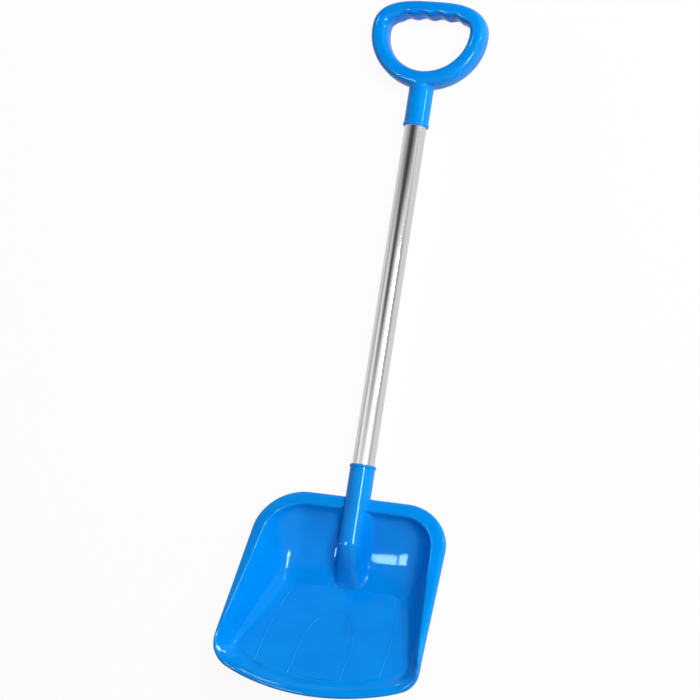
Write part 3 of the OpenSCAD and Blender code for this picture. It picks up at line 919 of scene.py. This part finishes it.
def makeFloor():
    bm = bmesh.new()
    bmesh.ops.create_grid(bm, x_segments=1, y_segments=1, size=studio["floorSize"] / 2)
    mesh = bpy.data.meshes.new("floor")
    bm.to_mesh(mesh)
    bm.free()
    floor = bpy.data.objects.new("floor", mesh)
    scene.collection.objects.link(floor)
    material = bpy.data.materials.new("paleFloor")
    material.use_nodes = True
    nodes, links = material.node_tree.nodes, material.node_tree.links
    shader, output = nodes["Principled BSDF"], nodes["Material Output"]
    shader.inputs["Base Color"].default_value = studio["floorColour"]
    shader.inputs["Roughness"].default_value = studio["floorRoughness"]
    shader.inputs["Specular IOR Level"].default_value = studio["floorGloss"]
    white, blend = nodes.new("ShaderNodeEmission"), nodes.new("ShaderNodeMixShader")
    path = nodes.new("ShaderNodeLightPath")
    mirrored = mathNode(
        nodes, links, "MAXIMUM", path.outputs["Is Camera Ray"], path.outputs["Is Glossy Ray"]
    )
    links.new(mathNode(nodes, links, "MULTIPLY", mirrored, studio["floorWhite"]), blend.inputs["Fac"])
    seen = mixNode(
        nodes, links, path.outputs["Is Camera Ray"], studio["floorMirrored"], studio["white"]
    )
    links.new(seen, white.inputs["Color"])
    links.new(shader.outputs["BSDF"], blend.inputs[1])
    links.new(white.outputs["Emission"], blend.inputs[2])
    links.new(blend.outputs["Shader"], output.inputs["Surface"])
    mesh.materials.append(material)


# Each lamp is seen from its target at an angle from straight up towards +X and an angle along +Y,
# and fills a spread of degrees each way. The first two light the shovel, and the others are only
# mirrored in it. A level is the brightness of the lamp's face.
lamps = {
    "key": dict(angle=31, along=18, spread=(30, 34), level=7.6, target=(0, 0, 0), mirrored=False),
    "sideFill": dict(
        angle=80, along=-6, spread=(30, 36), level=2.0, colour=(0.75, 1.0, 0.9), target=(0, 0, 0.1),
        mirrored=False,
    ),
    "scoopStrip": dict(
        angle=31, along=4, spread=(10, 15), level=30, target=(-0.03, -0.2, 0), soft=False,
    ),
    "windowBox": dict(
        angle=-29.5, along=-8, spread=(19.5, 9), level=25, target=(0.04, -0.21, 0), soft=False,
    ),
    "loopStrip": dict(
        angle=44, along=-18, spread=(14, 18), level=16, target=(0, 0.3, 0.02), distance=0.6, soft=False,
    ),
    "lipBox": dict(
        angle=-32, along=34, spread=(6, 4), level=18, target=(-0.06, -0.33, 0.07), soft=False,
    ),
    "sideStrip": dict(
        angle=69, along=20.2, spread=(7, 22), level=26, target=(0.02, 0.28, 0), distance=0.6, soft=False,
    ),
}
lampDistance = 2.4
powerPerLevel = 4


def makeLamps():
    for name, lamp in lamps.items():
        distance = lamp.get("distance", lampDistance)
        light = bpy.data.lights.new(name, "AREA")
        light.shape = "RECTANGLE"
        light.size, light.size_y = (2 * distance * slope(spread / 2) for spread in lamp["spread"])
        light.energy = lamp["level"] * powerPerLevel * light.size * light.size_y
        light.color = lamp.get("colour", (1, 1, 1))
        away = Vector((
            sine(lamp["angle"]) * cosine(lamp["along"]), sine(lamp["along"]),
            cosine(lamp["angle"]) * cosine(lamp["along"]),
        ))
        upright = (Vector((0, 1, 0)) - away * away.y).normalized()
        turn = Matrix((upright.cross(away), upright, away)).transposed().to_4x4()
        holder = bpy.data.objects.new(name, light)
        holder.matrix_world = Matrix.Translation(Vector(lamp["target"]) + away * distance) @ turn
        holder.visible_camera = False
        holder.visible_glossy = lamp.get("mirrored", True)
        holder.visible_diffuse = lamp.get("soft", True)
        scene.collection.objects.link(holder)


# the photograph's own angle, nearly over the shovel
camera = {
    "place": (0.7181, -0.3668, 2.3391), "turn": (11.0273, 16.3851, 9.1416), "lens": 128.571,
    "sensor": 36,
}


def makeCamera():
    data = bpy.data.cameras.new("camera")
    data.lens, data.sensor_width = camera["lens"], camera["sensor"]
    holder = bpy.data.objects.new("camera", data)
    holder.location = camera["place"]
    holder.rotation_euler = [math.radians(v) for v in camera["turn"]]
    scene.collection.objects.link(holder)
    scene.camera = holder


makeWorld()
makeFloor()
makeLamps()
makeCamera()
scene.view_settings.view_transform = "Standard"
print("studio made")
